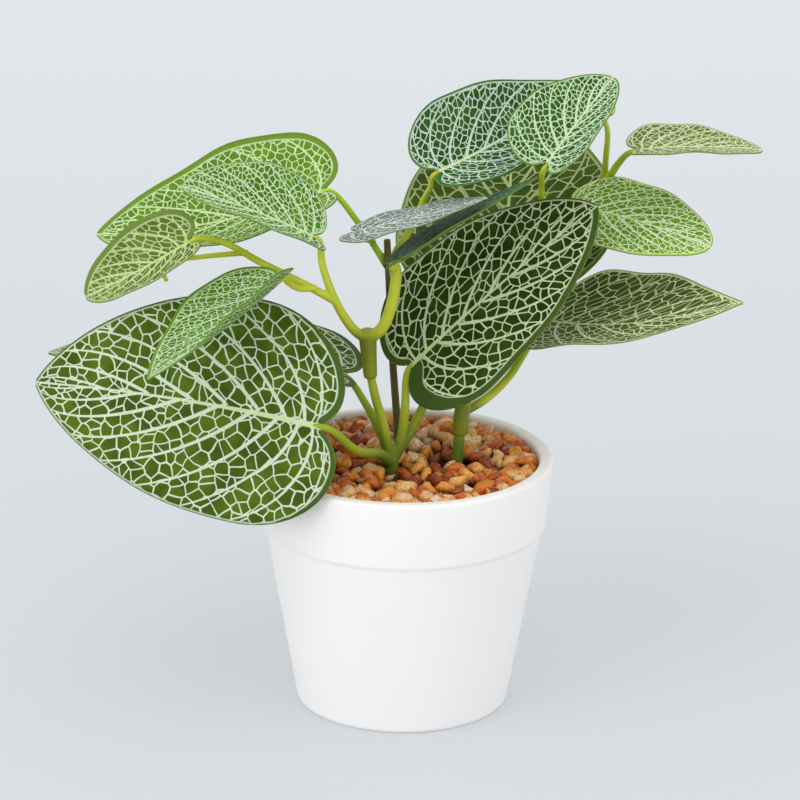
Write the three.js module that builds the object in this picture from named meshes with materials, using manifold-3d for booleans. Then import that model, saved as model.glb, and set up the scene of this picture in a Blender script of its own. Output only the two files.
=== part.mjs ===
// Artificial nerve plant in a plastic pot, in millimetres.
// The origin is at the middle of the pot's base, on the surface it stands on. +Z is up, and the
// plant is seen from -Y in its usual display position.
import * as THREE from "three";
import { mergeVertices } from "three/addons/utils/BufferGeometryUtils.js";
import Module from "manifold-3d";

const wasm = await Module();
wasm.setup();

// Driving dimensions of the pot
const POT_HEIGHT = 78;
const RIM_DIAMETER = 90;
const BASE_DIAMETER = 64;
const BAND_HEIGHT = 20.5;
const BAND_TAPER = 1.7;
const BAND_STEP = 1.2;
const LIP_WIDTH = 4;
const WALL = 2.4;
const FLOOR = 3.5;
const EDGE_ROUND = 1.5;
const POT_SIDES = 60;

// Driving dimensions of the filling
const GAP = 0.3;
const FILLER_TOP = 66;
const GRAVEL_BED_TOP = 74;
const STONE_SPACING = 5.8;
const STONE_RADIUS = 3.7;
const STONE_RISE = 1.2;

// Driving dimensions of a leaf, whose other sizes are shares of its own length
const BLADE_THICKNESS = 0.8;
const HALF_WIDTH = 0.37;
const NOTCH_HALF_WIDTH = 1.3;
const NOTCH_DEPTH = 1.5;
const RIB_HALF_WIDTH = 0.9;
const RIB_DEPTH = 0.9;
const SOCKET_BACK = 0.9;
const SOCKET_BELOW = 1.0;

// Driving dimensions of the stems
const STEM_SIDES = 7;
const STEM_STEP = 6;

// Leaves: where the blade joins its petiole, where its tip is, and how it is held.
// roll turns the blade about its length from level, and bend arches its length, both in degrees.
// cup lifts the margins as a share of the half width, and wave ripples them. left and right are
// the widths of the two halves against the usual blade, and sweep curves the midrib sideways as
// a share of the length. blunt is 0 for a drawn-out tip and 1 for a round one.
const LEAVES = {
  leaf_front_left: {
    base: [-24, -36, 99],
    tip: [-110.5, -8, 102.5],
    roll: -74,
    bend: 12,
    cup: 0,
    left: 0.99,
    right: 0.99,
    sweep: -0.02,
    blunt: 0.5,
    wave: 0.012,
    rows: 14,
    columns: 4,
  },
  leaf_low_left: {
    base: [-19, 14, 99],
    tip: [-109, 22, 102],
    roll: 4,
    bend: 16,
    cup: 0.18,
    left: 1,
    right: 1,
    sweep: 0,
    blunt: 0.4,
    wave: 0.01,
    rows: 14,
    columns: 4,
  },
  leaf_left_drooping: {
    base: [-37, -28.5, 143],
    tip: [-74, -60, 122],
    roll: 16,
    bend: -4,
    cup: 0.32,
    left: 0.62,
    right: 1.12,
    sweep: 0.05,
    blunt: 0.4,
    wave: 0.01,
    rows: 10,
    columns: 3,
  },
  leaf_left_end: {
    base: [-63, -22, 152],
    tip: [-95, -14, 131.5],
    roll: -56,
    bend: 34,
    cup: 0.36,
    left: 0.56,
    right: 0.82,
    sweep: 0.055,
    blunt: 1,
    wave: 0.01,
    rows: 10,
    columns: 3,
  },
  leaf_left_wide: {
    base: [-24.5, 18, 156],
    tip: [-94, 25, 139],
    roll: -25,
    bend: -8,
    cup: 0.34,
    left: 0.8,
    right: 0.92,
    sweep: 0.05,
    blunt: 0.6,
    wave: 0.012,
    rows: 12,
    columns: 4,
  },
  leaf_left_upper: {
    base: [-26.3, -13.5, 150.5],
    tip: [-65.7, -21.5, 168],
    roll: -28,
    bend: -6,
    cup: 0.34,
    left: 0.68,
    right: 1.06,
    sweep: -0.045,
    blunt: 0.9,
    wave: 0.01,
    rows: 10,
    columns: 3,
  },
  leaf_centre: {
    base: [1, 5, 104],
    tip: [56.5, 5, 155.5],
    roll: 44,
    bend: 6,
    cup: 0.06,
    left: 0.92,
    right: 0.92,
    sweep: 0.01,
    blunt: 0.7,
    wave: 0.01,
    rows: 14,
    columns: 4,
  },
  leaf_centre_left_flat: {
    base: [-16, 2, 148],
    tip: [23.5, -10, 162.2],
    roll: 0,
    bend: -4,
    cup: 0,
    left: 1,
    right: 1,
    sweep: 0,
    blunt: 0.3,
    wave: 0.01,
    rows: 10,
    columns: 3,
  },
  leaf_centre_right_flat: {
    base: [-4, -11, 142.5],
    tip: [39.5, -6, 168.5],
    roll: -12,
    bend: 4,
    cup: 0.08,
    left: 1,
    right: 1,
    sweep: 0,
    blunt: 0.2,
    wave: 0.005,
    rows: 10,
    columns: 3,
  },
  leaf_top_middle: {
    base: [8.5, 3, 166.2],
    tip: [52.5, 46, 183],
    roll: 30,
    bend: -6,
    cup: 0.34,
    left: 0.78,
    right: 0.66,
    sweep: -0.03,
    blunt: 0.1,
    wave: 0.01,
    rows: 10,
    columns: 3,
  },
  leaf_top: {
    base: [40.4, -6.5, 171.3],
    tip: [61, 20, 191.2],
    roll: 14,
    bend: 8,
    cup: 0.34,
    left: 1.15,
    right: 0.72,
    sweep: 0,
    blunt: 1,
    wave: 0.01,
    rows: 10,
    columns: 3,
  },
  leaf_back: {
    base: [28, 26, 123],
    tip: [33, 110, 158],
    roll: -5,
    bend: 15,
    cup: 0.08,
    left: 1,
    right: 1,
    sweep: -0.02,
    blunt: 0.3,
    wave: 0.012,
    rows: 14,
    columns: 4,
  },
  leaf_right_upper: {
    base: [68.6, 24, 168],
    tip: [107, 28, 167],
    roll: 2,
    bend: 14,
    cup: 0.2,
    left: 1,
    right: 1,
    sweep: -0.02,
    blunt: 0.9,
    wave: 0.01,
    rows: 10,
    columns: 3,
  },
  leaf_right_middle: {
    base: [50, 31, 148],
    tip: [91, 9, 142],
    roll: 20,
    bend: 16,
    cup: 0.03,
    left: 1,
    right: 1,
    sweep: 0,
    blunt: 1,
    wave: 0.01,
    rows: 10,
    columns: 3,
  },
  leaf_right_lower: {
    base: [42.5, 32, 111],
    tip: [100, -6, 129.5],
    roll: 10,
    bend: -8,
    cup: 0.2,
    left: 1.08,
    right: 1.05,
    sweep: -0.08,
    blunt: 0,
    wave: 0.012,
    rows: 12,
    columns: 4,
  },
  leaf_top_back: {
    base: [58.5, 36, 175.5],
    tip: [48, 62, 178],
    roll: 0,
    bend: 20,
    cup: 0.05,
    left: 0.6,
    right: 0.6,
    sweep: 0,
    blunt: 0.4,
    wave: 0.01,
    rows: 10,
    columns: 3,
  },
};

// Stems: each node is a list of tubes by their points and their radius at each end. A tube with
// leaf ends in that leaf's socket, and one with root stands in the filling.
const STEMS = {
  spray_centre_lower: {
    colour: 0x5c7a35,
    tubes: [
      { root: true, points: [[-4, 0, 58], [-4, 0, 68], [-4, 0, 77]], radius: [2.6, 2.2] },
      {
        plug: true,
        points: [[-4, 0, 75], [-6, -1, 86], [-9, -2, 97], [-11, -3, 107]],
        radius: [1.6, 1.3],
      },
      { leaf: "leaf_front_left", points: [[-4, 0, 75], [-7, -6, 80], [-14, -20, 86]], radius: [1.8, 1] },
      { leaf: "leaf_low_left", points: [[-4, 0, 75], [-7, 3, 83], [-12, 9, 91]], radius: [1.6, 0.9] },
      { leaf: "leaf_centre", points: [[-4, 0, 75], [-1, 1, 83], [0, 1, 93]], radius: [1.8, 1] },
      {
        leaf: "leaf_back",
        points: [[-4, 0, 75], [2, 6, 84], [9, 13, 96], [19, 20, 110]],
        radius: [1.6, 1],
      },
    ],
  },
  spray_centre_upper: {
    colour: 0x8fae3c,
    over: "spray_centre_lower",
    tubes: [
      { points: [[-10.5, -3, 104], [-11, -3, 110], [-11.5, -4, 118]], radius: [2.1, 2.8] },
      {
        leaf: "leaf_left_upper",
        points: [[-12, -4, 116], [-16, -9, 121], [-21, -14, 131], [-25, -15, 143]],
        radius: [1.6, 1],
      },
      {
        leaf: "leaf_left_end",
        points: [[-21, -14, 131], [-30, -17, 137], [-43, -15, 143], [-54, -18, 150]],
        radius: [1.3, 0.9],
      },
      {
        leaf: "leaf_left_drooping",
        points: [[-27, -17, 136], [-31.5, -21, 137], [-35, -25.5, 140.5]],
        radius: [1.1, 0.9],
      },
      {
        points: [[-47, -15, 146], [-60, -13, 144], [-69, -12, 142], [-72, -12, 139], [-71, -12, 136]],
        radius: [0.9, 0.7],
      },
      { points: [[-11, -4, 116], [-7, -5, 120], [-4, -6, 129], [-3, -7, 137]], radius: [1.9, 1.7] },
      {
        leaf: "leaf_top_middle",
        points: [[-3, -7, 134], [-4, 6, 138], [1, 18, 144], [5, 18, 153], [7, 6, 161]],
        radius: [1.4, 0.8],
      },
      { leaf: "leaf_centre_right_flat", points: [[-3, -7, 135], [-3, -9, 140]], radius: [1.6, 1] },
    ],
  },
  stem_back: {
    colour: 0x7a6a35,
    tubes: [
      {
        root: true,
        points: [[-2, 10, 58], [-2, 11, 78], [-4, 22, 102], [-6, 25, 138]],
        radius: [1.3, 1.1],
      },
      {
        leaf: "leaf_left_wide",
        points: [[-6, 24, 130], [-10, 23, 137], [-15, 21, 145]],
        radius: [1.1, 0.9],
      },
      { leaf: "leaf_centre_left_flat", points: [[-10, 23, 138], [-14, 11, 143]], radius: [0.9, 0.8] },
    ],
  },
  spray_right_lower: {
    colour: 0x6b8a35,
    tubes: [{ root: true, plug: true, points: [[16, 4, 58], [16, 4, 76], [17, 4, 87]], radius: [1.9, 1.7] }],
  },
  spray_right_upper: {
    colour: 0x8fae3c,
    over: "spray_right_lower",
    tubes: [
      { points: [[16.8, 4, 84], [17.2, 4, 90], [18, 5, 95]], radius: [2.6, 2.3] },
      {
        leaf: "leaf_right_lower",
        points: [[17, 4, 90], [25, 13, 92], [32, 20, 97], [38, 29, 104]],
        radius: [1.5, 1],
      },
      {
        points: [
          [17.5, 5, 93],
          [25, 11, 105],
          [36, 17, 120],
          [45, 20, 134],
          [47, 31, 141],
          [60.5, 48, 149],
        ],
        radius: [1.6, 1.4],
      },
      { leaf: "leaf_right_upper", points: [[60.5, 48, 149], [64, 38, 159]], radius: [1.3, 0.9] },
      {
        leaf: "leaf_top_back",
        points: [[60.5, 48, 149], [60.5, 44, 158], [60.5, 38, 170]],
        radius: [1.1, 0.8],
      },
      {
        leaf: "leaf_top",
        points: [[60.5, 48, 149], [50, 38, 146], [44, 29, 148], [41, 22, 151.5], [40, 8, 162]],
        radius: [1.3, 0.8],
      },
      { leaf: "leaf_right_middle", points: [[47, 31, 141], [47, 31, 144]], radius: [1.2, 0.9] },
    ],
  },
};

// Resources shared by the pieces
const RAD = Math.PI / 180;

// A seeded source of numbers from 0 to 1, so that the stones fall the same way each time.
function seeded(seed) {
  let state = seed;
  return () => {
    state = (Math.imul(state, 1664525) + 1013904223) >>> 0;
    return state / 4294967296;
  };
}

function solidOf(geometry) {
  const bare = geometry.clone();
  bare.deleteAttribute("normal");
  bare.deleteAttribute("uv");
  const merged = mergeVertices(bare, 1e-4);
  return new wasm.Manifold(
    new wasm.Mesh({
      numProp: 3,
      vertProperties: new Float32Array(merged.attributes.position.array),
      triVerts: new Uint32Array(merged.index.array),
    }),
  );
}

function geometryOf(solid) {
  const mesh = solid.getMesh();
  const geometry = new THREE.BufferGeometry();
  geometry.setAttribute("position", new THREE.BufferAttribute(mesh.vertProperties, 3));
  geometry.setIndex(new THREE.BufferAttribute(mesh.triVerts, 1));
  geometry.computeVertexNormals();
  return geometry;
}

// The largest body of a cut solid, with loose scraps dropped.
function largestBody(solid) {
  return solid.decompose().sort((a, b) => b.volume() - a.volume())[0];
}

function lathe(profile, sides) {
  const points = profile.map(([radius, height]) => new THREE.Vector2(radius, height));
  return new THREE.LatheGeometry(points, sides).rotateX(Math.PI / 2);
}

// Pot: one moulding with a stepped band under a broad lip
function potGeometry() {
  const rim = RIM_DIAMETER / 2;
  const foot = BASE_DIAMETER / 2;
  const bandBottom = POT_HEIGHT - BAND_HEIGHT;
  const bandRadius = rim - BAND_TAPER;
  const neck = bandRadius - BAND_STEP;
  const innerTop = rim - LIP_WIDTH;
  const profile = [
    [0, 0],
    [foot - EDGE_ROUND, 0],
    [foot - EDGE_ROUND * 0.3, EDGE_ROUND * 0.3],
    [foot, EDGE_ROUND],
    [neck, bandBottom - BAND_STEP],
    [bandRadius - 0.3, bandBottom],
    [bandRadius, bandBottom + 0.6],
    [rim, POT_HEIGHT - 1],
    [rim - 0.4, POT_HEIGHT - 0.2],
    [rim - 1, POT_HEIGHT],
    [innerTop + 0.6, POT_HEIGHT],
    [innerTop, POT_HEIGHT - 0.6],
    [neck - WALL, bandBottom],
    [foot - WALL, FLOOR],
    [0, FLOOR],
  ];
  return lathe(profile, POT_SIDES);
}

// The radius of the pot's inner wall at a height.
function innerRadius(height) {
  const bandBottom = POT_HEIGHT - BAND_HEIGHT;
  const neck = RIM_DIAMETER / 2 - BAND_TAPER - BAND_STEP - WALL;
  if (height > bandBottom) {
    const share = (height - bandBottom) / BAND_HEIGHT;
    return neck + share * (RIM_DIAMETER / 2 - LIP_WIDTH - neck);
  }
  const foot = BASE_DIAMETER / 2 - WALL;
  return foot + ((height - FLOOR) / (bandBottom - FLOOR)) * (neck - foot);
}

// What a tube takes out of the piece that it stands in: its own form, a gap larger.
function clearanceSolid(tube) {
  const [start, end] = tube.radius;
  const points = tubePoints(tube);
  const last = points[points.length - 1];
  const before = points[points.length - 2];
  last.addScaledVector(last.clone().sub(before).normalize(), GAP);
  return solidOf(tubeGeometry(points, start + GAP + 0.1, end + GAP + 0.1));
}

// Holes in the filling for every tube that starts in the pot.
function rootHoles() {
  const tubes = Object.values(STEMS).flatMap((stem) => stem.tubes);
  const low = tubes.filter((tube) => tube.points[0][2] < POT_HEIGHT);
  return wasm.Manifold.union(low.map(clearanceSolid));
}

function fillerSolid() {
  const bandBottom = POT_HEIGHT - BAND_HEIGHT;
  const bottom = FLOOR + GAP;
  const top = FILLER_TOP - GAP;
  const profile = [
    [0, bottom],
    [innerRadius(bottom) - GAP, bottom],
    [innerRadius(bandBottom) - GAP, bandBottom],
    [innerRadius(top) - GAP, top],
    [0, top],
  ];
  return solidOf(lathe(profile, POT_SIDES));
}

// Gravel: angular stones on a hexagonal grid with jitter, sunk into a thin bed
function gravelSolid() {
  const random = seeded(7);
  const bed = [
    [0, FILLER_TOP],
    [innerRadius(FILLER_TOP) - GAP, FILLER_TOP],
    [innerRadius(GRAVEL_BED_TOP) - GAP, GRAVEL_BED_TOP],
    [0, GRAVEL_BED_TOP],
  ];
  const pieces = [solidOf(lathe(bed, POT_SIDES))];
  const reach = innerRadius(GRAVEL_BED_TOP) - GAP - STONE_RADIUS;
  const rowStep = STONE_SPACING * Math.sin(60 * RAD);
  const rows = Math.ceil(reach / rowStep);
  for (let row = -rows; row <= rows; row++) {
    const shift = row % 2 ? STONE_SPACING / 2 : 0;
    for (let column = -rows; column <= rows; column++) {
      const x = column * STONE_SPACING + shift + (random() - 0.5) * 1.6;
      const y = row * rowStep + (random() - 0.5) * 1.6;
      const size = STONE_RADIUS * (0.85 + 0.3 * random());
      const stone = new THREE.OctahedronGeometry(size, 0);
      stone.scale(1, 0.75 + 0.25 * random(), 0.7 + 0.2 * random());
      stone.rotateX(random() * Math.PI).rotateZ(random() * Math.PI);
      const height = GRAVEL_BED_TOP + STONE_RISE * (random() - 0.4);
      if (Math.hypot(x, y) > reach) continue;
      pieces.push(solidOf(stone.translate(x, y, height)));
    }
  }
  return wasm.Manifold.union(pieces);
}

// A stem's tube: a round section swept along a smooth curve, narrowing from start to end
function tubeGeometry(points, startRadius, endRadius) {
  const curve = new THREE.CatmullRomCurve3(points);
  const steps = Math.max(2, Math.round(curve.getLength() / STEM_STEP));
  const section = new THREE.Shape();
  for (let side = 0; side < STEM_SIDES; side++) {
    const angle = (side * 2 * Math.PI) / STEM_SIDES;
    const x = startRadius * Math.cos(angle);
    const y = startRadius * Math.sin(angle);
    if (side) section.lineTo(x, y);
    else section.moveTo(x, y);
  }
  const tube = new THREE.ExtrudeGeometry(section, { steps, extrudePath: curve, bevelEnabled: false });
  const centres = curve.getSpacedPoints(steps);
  const position = tube.attributes.position;
  const point = new THREE.Vector3();
  for (let i = 0; i < position.count; i++) {
    point.fromBufferAttribute(position, i);
    const step = centres.findIndex((centre) => Math.abs(centre.distanceTo(point) - startRadius) < 1e-3);
    const scale = 1 + (step / steps) * (endRadius / startRadius - 1);
    point.sub(centres[step]).multiplyScalar(scale).add(centres[step]);
    position.setXYZ(i, point.x, point.y, point.z);
  }
  return tube;
}

function tubePoints(tube) {
  const points = tube.points.map((p) => new THREE.Vector3(...p));
  if (tube.leaf) points.push(leafSocket(LEAVES[tube.leaf]));
  return points;
}

// A spray's tubes in one body. One that sits over a lower stem has a socket for that stem's end.
function stemSolid(stem) {
  const body = wasm.Manifold.union(
    stem.tubes.map((tube) => solidOf(tubeGeometry(tubePoints(tube), ...tube.radius))),
  );
  if (!stem.over) return body;
  return STEMS[stem.over].tubes.filter((tube) => tube.plug).map(clearanceSolid).reduce(
    (rest, hole) => rest.subtract(hole),
    body,
  );
}

// A leaf's own frame: along from base to tip, across to its left, and up out of its face
function leafFrame({ base, tip, roll }) {
  const start = new THREE.Vector3(...base);
  const along = new THREE.Vector3(...tip).sub(start);
  const chord = along.length();
  along.normalize();
  const across = new THREE.Vector3(0, 0, 1).cross(along).normalize();
  across.applyAxisAngle(along, roll * RAD);
  const up = along.clone().cross(across);
  return { start, along, across, up, chord };
}

// Where a petiole ends: just behind and under the blade's notch.
function leafSocket(leaf) {
  const { start, along, up } = leafFrame(leaf);
  return start.clone().addScaledVector(along, -SOCKET_BACK).addScaledVector(up, -SOCKET_BELOW);
}

// A point of the blade from its flat pattern: x along the midrib and y across, as shares of the
// length, and depth under the upper face in millimetres.
function bladePoint(leaf, frame, x, y, depth) {
  const bend = leaf.bend * RAD;
  const length = (frame.chord * bend) / (2 * Math.sin(bend / 2));
  const slope = bend * (0.5 - x);
  const forward = (Math.sin(bend / 2) - Math.sin(slope)) / bend;
  const rise = (Math.cos(slope) - Math.cos(bend / 2)) / bend;
  const normal = frame.up.clone().applyAxisAngle(frame.across, -slope);
  const out = Math.abs(y) / HALF_WIDTH;
  const ripple = leaf.wave * out * out * Math.sin(14 * x + (y > 0 ? 0 : 2));
  const lift = length * (leaf.cup * HALF_WIDTH * out * out + ripple) - depth;
  const width = y > 0 ? leaf.left : leaf.right;
  const sideways = y * width + leaf.sweep * 4 * x * (1 - x);
  return frame.start
    .clone()
    .addScaledVector(frame.along, forward * length)
    .addScaledVector(frame.up, rise * length)
    .addScaledVector(frame.across, sideways * length)
    .addScaledVector(normal, lift);
}

// The flat pattern of half a blade: heart-shaped behind the notch, widest at a quarter of its
// length, and narrowing to the tip.
function bladeMargin(length, blunt) {
  const v = (x, y) => new THREE.Vector2(x, y);
  const widest = v(0.27, HALF_WIDTH);
  const shoulder = v(0.6 + 0.06 * blunt, HALF_WIDTH);
  const nearTip = v(0.85 + 0.15 * blunt, 0.15);
  const notch = NOTCH_HALF_WIDTH / length;
  return [
    new THREE.CubicBezierCurve(v(0, notch), v(-0.13, 0.1), v(-0.03, HALF_WIDTH), widest),
    new THREE.CubicBezierCurve(widest, shoulder, nearTip, v(1, 0.006 + 0.008 * blunt)),
  ];
}

// A blade with its raised midrib underneath: rows of points fan out from the midrib to the
// margin, alike on both faces, and a strip of faces closes the edge.
function leafGeometry(leaf) {
  const frame = leafFrame(leaf);
  const [lobe, side] = bladeMargin(frame.chord, leaf.blunt);
  const dip = NOTCH_DEPTH / frame.chord;
  const lobeRows = Math.round(leaf.rows / 3);
  const columns = leaf.columns + 1;
  const width = 2 * columns + 1;
  const upper = [];
  const lower = [];
  for (let row = 0; row <= leaf.rows; row++) {
    const inLobe = row <= lobeRows;
    const margin = inLobe
      ? lobe.getPoint(row / lobeRows)
      : side.getPoint((row - lobeRows) / (leaf.rows - lobeRows));
    const middle = dip + (1 - dip) * (row / leaf.rows) ** 1.8;
    const rib = Math.min((RIB_HALF_WIDTH * (1 - 0.6 * middle)) / frame.chord, margin.y * 0.4);
    for (let column = -columns; column <= columns; column++) {
      const index = Math.abs(column);
      const y = index ? rib + ((margin.y - rib) * (index - 1)) / leaf.columns : 0;
      const share = y / margin.y;
      const x = middle + share * (margin.x - middle);
      const ribDepth = index ? 0 : RIB_DEPTH * (1 - 0.7 * middle);
      const across = Math.sign(column) * y;
      upper.push(bladePoint(leaf, frame, x, across, 0));
      lower.push(bladePoint(leaf, frame, x, across, BLADE_THICKNESS + ribDepth));
    }
  }
  return closedSheet(upper, lower, leaf.rows + 1, width);
}

// Two alike grids of points joined round their edge into one closed surface.
function closedSheet(upper, lower, rows, width) {
  const faces = [];
  const offset = upper.length;
  const quad = (a, b, c, d) => faces.push(a, b, c, a, c, d);
  for (let row = 0; row < rows - 1; row++) {
    for (let column = 0; column < width - 1; column++) {
      const a = row * width + column;
      const b = a + 1;
      const c = b + width;
      const d = a + width;
      faces.push(a, c, b, a, d, c);
      faces.push(offset + a, offset + b, offset + c, offset + a, offset + c, offset + d);
    }
  }
  for (let row = 0; row < rows - 1; row++) {
    const left = row * width;
    const right = left + width - 1;
    quad(left, offset + left, offset + left + width, left + width);
    quad(right, right + width, offset + right + width, offset + right);
  }
  for (let column = 0; column < width - 1; column++) {
    const first = column;
    const last = (rows - 1) * width + column;
    quad(first, first + 1, offset + first + 1, offset + first);
    quad(last, offset + last, offset + last + 1, last + 1);
  }
  const geometry = new THREE.BufferGeometry();
  const numbers = [...upper, ...lower].flatMap((p) => p.toArray());
  geometry.setAttribute("position", new THREE.Float32BufferAttribute(numbers, 3));
  geometry.setIndex(faces);
  geometry.computeVertexNormals();
  return geometry;
}

// The assembly
const plant = new THREE.Group();

function addPiece(name, geometry, colour, roughness) {
  const material = new THREE.MeshStandardMaterial({ color: colour, roughness, metalness: 0 });
  const mesh = new THREE.Mesh(geometry, material);
  mesh.name = name;
  plant.add(mesh);
}

const holes = rootHoles();
addPiece("pot", potGeometry(), 0xf2f2f0, 0.55);
addPiece("filler", geometryOf(largestBody(fillerSolid().subtract(holes))), 0x6b5c4a, 0.9);
addPiece("gravel", geometryOf(largestBody(gravelSolid().subtract(holes))), 0xb8754a, 0.7);
for (const [name, stem] of Object.entries(STEMS)) {
  addPiece(name, geometryOf(stemSolid(stem)), stem.colour, 0.5);
}
for (const [name, leaf] of Object.entries(LEAVES)) {
  addPiece(name, leafGeometry(leaf), 0x4d7a3a, 0.5);
}

export default plant;
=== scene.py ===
# %% [markdown]
# # A nerve plant in a white pot
# The object is a small artificial plant: printed leaves on moulded stems, held by gravel in a
# plastic pot. A measured model of it already exists, so this lesson only gives that model its
# fine forms and its finishes. Everything is in metres, with the origin under the pot.

import math

import bmesh
import bpy
import numpy as np
from mathutils import Matrix, Vector


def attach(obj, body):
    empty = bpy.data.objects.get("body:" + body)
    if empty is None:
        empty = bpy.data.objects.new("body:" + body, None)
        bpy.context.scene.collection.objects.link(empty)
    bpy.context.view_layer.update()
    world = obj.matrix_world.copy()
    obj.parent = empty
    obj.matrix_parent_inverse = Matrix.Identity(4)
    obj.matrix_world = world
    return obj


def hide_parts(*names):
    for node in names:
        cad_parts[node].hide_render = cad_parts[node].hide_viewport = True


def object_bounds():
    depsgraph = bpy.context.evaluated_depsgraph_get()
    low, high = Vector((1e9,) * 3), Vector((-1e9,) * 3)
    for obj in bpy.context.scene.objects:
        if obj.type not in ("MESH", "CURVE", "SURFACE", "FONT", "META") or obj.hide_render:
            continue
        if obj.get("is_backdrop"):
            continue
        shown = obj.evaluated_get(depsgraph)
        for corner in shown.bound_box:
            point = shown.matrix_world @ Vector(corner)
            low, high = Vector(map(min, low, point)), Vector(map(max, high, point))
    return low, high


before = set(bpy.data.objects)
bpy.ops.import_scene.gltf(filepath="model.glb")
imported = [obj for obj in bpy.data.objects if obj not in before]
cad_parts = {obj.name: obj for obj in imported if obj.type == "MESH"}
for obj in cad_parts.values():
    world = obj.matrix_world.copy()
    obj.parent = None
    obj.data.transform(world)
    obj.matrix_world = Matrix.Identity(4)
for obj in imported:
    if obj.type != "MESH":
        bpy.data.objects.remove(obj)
MM = 0.001
size_before = [list(corner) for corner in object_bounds()]
print(len(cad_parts), "pieces in the measured model")

# %% [markdown]
# ## Colours and arithmetic for finishes
# A finish in Blender is a tree of nodes. Written as plain arithmetic it is easier to read, so
# one small class stands for a value on a wire, and the usual operators add the Math nodes. A
# second class holds one material and has a single method for every other kind of node.

# %% Colours by their screen values
def tint(red, green, blue):
    """A colour from its screen values of 0 to 255, as the light-linear numbers Blender wants."""
    return tuple(((v / 255 + 0.055) / 1.055) ** 2.4 if v > 10 else v / 255 / 12.92
                 for v in (red, green, blue)) + (1.0,)


print("mid grey is", [round(v, 3) for v in tint(128, 128, 128)])

# %% A value on a wire
class Wire:
    """A value inside a material. Arithmetic on it adds Math nodes."""

    def __init__(self, finish, socket):
        self.finish, self.socket = finish, socket

    def __add__(self, other):
        return self.finish.math("ADD", self, other)

    def __radd__(self, other):
        return self.finish.math("ADD", other, self)

    def __sub__(self, other):
        return self.finish.math("SUBTRACT", self, other)

    def __rsub__(self, other):
        return self.finish.math("SUBTRACT", other, self)

    def __mul__(self, other):
        return self.finish.math("MULTIPLY", self, other)

    def __rmul__(self, other):
        return self.finish.math("MULTIPLY", other, self)

    def __truediv__(self, other):
        return self.finish.math("DIVIDE", self, other)

    def __abs__(self):
        return self.finish.math("ABSOLUTE", self)

    def floor(self):
        return self.finish.math("FLOOR", self)

    def round(self):
        return self.finish.math("ROUND", self)

    def most(self, other):
        """The larger of the two at each point."""
        return self.finish.math("MAXIMUM", self, other)

    def ease(self, low, high):
        """0 below low and 1 above high, with a soft step between. The two may be wires."""
        return self.finish.add(
            "ShaderNodeMapRange",
            {"interpolation_type": "SMOOTHSTEP"},
            {"Value": self, "From Min": low, "From Max": high},
            "Result",
        )


print("values on wires can be added, subtracted, multiplied and divided")

# %% One material
class Finish:
    """One material: its tree, and one way to add any node to it."""

    def __init__(self, name):
        self.material = bpy.data.materials.new(name)
        self.material.use_nodes = True
        self.tree = self.material.node_tree
        self.surface = self.tree.nodes["Principled BSDF"]

    def join(self, sockets, key, value):
        """Puts a number, a colour or a wire on a socket."""
        socket = sockets[key]
        if isinstance(value, Wire):
            self.tree.links.new(value.socket, socket)
        else:
            socket.default_value = value

    def add(self, kind, settings=None, values=None, out=0):
        """Adds a node with its settings, then the values of its sockets, and gives one output."""
        node = self.tree.nodes.new(kind)
        for key, value in (settings or {}).items():
            if key == "stops":
                set_stops(node.color_ramp, value)
            else:
                setattr(node, key, value)
        by_id = {s.identifier: s for s in node.inputs}
        for key, value in (values or {}).items():
            self.join(by_id if key in by_id else node.inputs, key, value)
        outputs = {s.identifier: s for s in node.outputs}
        return Wire(self, outputs[out] if out in outputs else node.outputs[out])

    def math(self, operation, *values):
        """One operation on numbers or wires."""
        return self.add("ShaderNodeMath", {"operation": operation}, dict(enumerate(values)))

    def mix(self, share, first, second):
        """A colour between two others. Colours never go through Math, which would grey them."""
        return self.add(
            "ShaderNodeMix",
            {"data_type": "RGBA"},
            {"Factor_Float": share, "A_Color": first, "B_Color": second},
            "Result_Color",
        )

    def surface_value(self, name):
        """A number that the mesh carries at each of its points."""
        return self.add("ShaderNodeAttribute", {"attribute_name": name}, out="Fac")

    def place(self):
        """Where on the object the point is, in metres."""
        return self.add("ShaderNodeTexCoord", out="Object")

    def part_of(self, where, axis):
        """The X, Y or Z of a place."""
        return self.add("ShaderNodeSeparateXYZ", {}, {"Vector": where}, axis)

    def noise(self, where, scale, detail=2.0, rough=0.5):
        """Soft random values around a half, with about scale spots to one unit of the place."""
        values = {"Vector": where, "Scale": scale, "Detail": detail, "Roughness": rough}
        return self.add("ShaderNodeTexNoise", {}, values, "Fac")

    def bump(self, height, distance, strength):
        """A surface direction that makes the height look raised by the distance, in metres."""
        values = {"Height": height, "Distance": distance, "Strength": strength}
        return self.add("ShaderNodeBump", {}, values, "Normal")

    def wear(self, **values):
        """Sets the surface's own inputs, named with underscores for spaces."""
        for key, value in values.items():
            self.join(self.surface.inputs, key.replace("_", " "), value)
        return self.material


def set_stops(ramp, stops):
    """Gives a colour ramp its stops, each a position and a colour."""
    while len(ramp.elements) < len(stops):
        ramp.elements.new(0.5)
    for element, (position, colour) in zip(ramp.elements, stops):
        element.position, element.color = position, colour


print("finishes can be written as arithmetic")

# %% A mesh piece from its points and faces
def make_piece(name, points, faces, material, values=None, smooth=True):
    """A mesh object from points in metres, with any numbers its finish needs at each point."""
    mesh = bpy.data.meshes.new(name)
    mesh.from_pydata([tuple(p) for p in points], [], [tuple(int(i) for i in f) for f in faces])
    for key, numbers in (values or {}).items():
        layer = mesh.attributes.new(key, "FLOAT", "POINT")
        layer.data.foreach_set("value", np.asarray(numbers, np.float32))
    mesh.polygons.foreach_set("use_smooth", [smooth] * len(mesh.polygons))
    mesh.materials.append(material)
    piece = bpy.data.objects.new(name, mesh)
    bpy.context.scene.collection.objects.link(piece)
    return piece


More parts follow.
